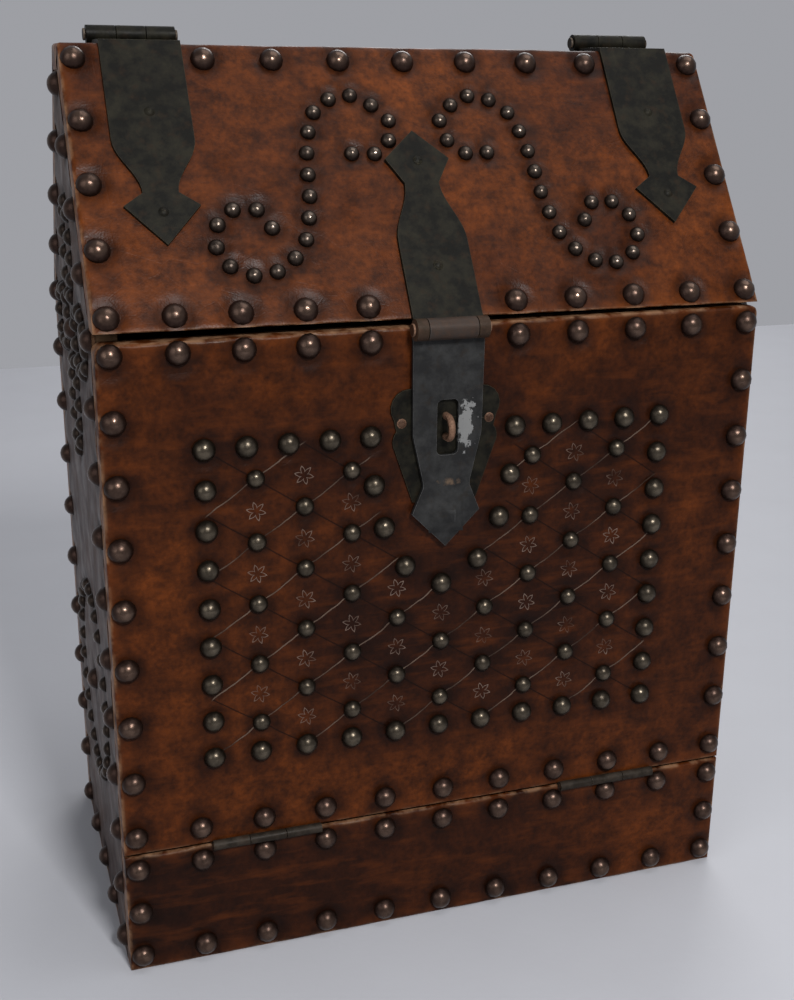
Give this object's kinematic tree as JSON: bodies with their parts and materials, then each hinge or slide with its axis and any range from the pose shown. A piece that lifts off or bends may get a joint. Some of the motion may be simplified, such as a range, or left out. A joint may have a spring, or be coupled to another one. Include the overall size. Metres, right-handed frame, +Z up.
{
  "type": "donation box",
  "caption": "Leather-covered wooden offering box with a gabled hinged lid, a falling front, dome-nail patterns and an iron hasp with staple.",
  "frame": {"origin": "centre of the base, on the surface that the box stands on", "axes": "+X to the right seen from the front, +Y towards the back, +Z up; the front faces -Y"},
  "size_m": [0.3134, 0.1877, 0.4162],
  "materials": {
    "boards": "old unfinished softwood, dry and dull",
    "leather": "aged tooled hide, orange brown, mottled and satin",
    "side_leather": "aged plain hide, darker brown, worn and satin",
    "border_nails": "browned dome nails with worn bright crowns",
    "lattice_nails": "darkened steel dome nails with worn crowns",
    "black_iron": "forged iron, blackened, worn pale at the edges",
    "staple_iron": "forged iron with brown rust",
    "hinge_steel": "plain dull steel butt hinges"
  },
  "bodies": {
    "carcass": {"bottom_board": "boards", "left_side_board": "boards", "right_side_board": "boards", "back_board": "boards", "back_slope_board": "boards", "plinth_board": "boards", "left_side_leather": "side_leather", "right_side_leather": "side_leather", "back_leather": "leather", "plinth_leather": "leather", "left_side_nails": "border_nails", "right_side_nails": "border_nails", "left_ring_nails": "border_nails", "right_ring_nails": "border_nails", "left_petal_nails": "border_nails", "right_petal_nails": "border_nails", "back_nails": "border_nails", "back_slope_nails": "border_nails", "plinth_nails": "border_nails", "left_back_leaf": "black_iron", "right_back_leaf": "black_iron", "left_lid_hinge_pin": "staple_iron", "right_lid_hinge_pin": "staple_iron", "back_leaf_pins": "black_iron", "left_front_hinge_fixed_leaf": "hinge_steel", "right_front_hinge_fixed_leaf": "hinge_steel", "left_front_hinge_pin": "hinge_steel", "right_front_hinge_pin": "hinge_steel", "plinth_hinge_nails": "hinge_steel"},
    "lid": {"lid_slope_board": "boards", "lid_ridge_board": "boards", "lid_leather": "leather", "lid_border_nails": "border_nails", "left_scroll_nails": "border_nails", "right_scroll_nails": "border_nails", "left_lid_strap": "black_iron", "right_lid_strap": "black_iron", "lid_strap_pins": "black_iron", "hasp_strap": "black_iron", "hasp_strap_pins": "black_iron", "hasp_hinge_pin": "staple_iron"},
    "hasp": {"hasp_flap": "black_iron"},
    "front": {"front_board": "boards", "front_leather": "leather", "front_border_nails": "border_nails", "lattice_border_nails": "lattice_nails", "lattice_cross_nails": "lattice_nails", "escutcheon_plate": "black_iron", "escutcheon_pins": "black_iron", "staple": "staple_iron", "left_front_hinge_moving_leaf": "hinge_steel", "right_front_hinge_moving_leaf": "hinge_steel", "front_hinge_nails": "hinge_steel"}
  },
  "joints": [
    {"name": "lid_hinge", "type": "hinge", "parent": "carcass", "child": "lid", "pos_m": [0, 0.0132, 0.4122], "axis": [-1, 0, 0], "range_deg": [0, 220]},
    {"name": "hasp_hinge", "type": "hinge", "parent": "lid", "child": "hasp", "pos_m": [-0.003, -0.092, 0.2935], "axis": [-1, 0, 0], "range_deg": [0, 210]},
    {"name": "front_hinge", "type": "hinge", "parent": "carcass", "child": "front", "pos_m": [0, -0.0881, 0.06], "axis": [1, 0, 0], "range_deg": [0, 100]}
  ]
}
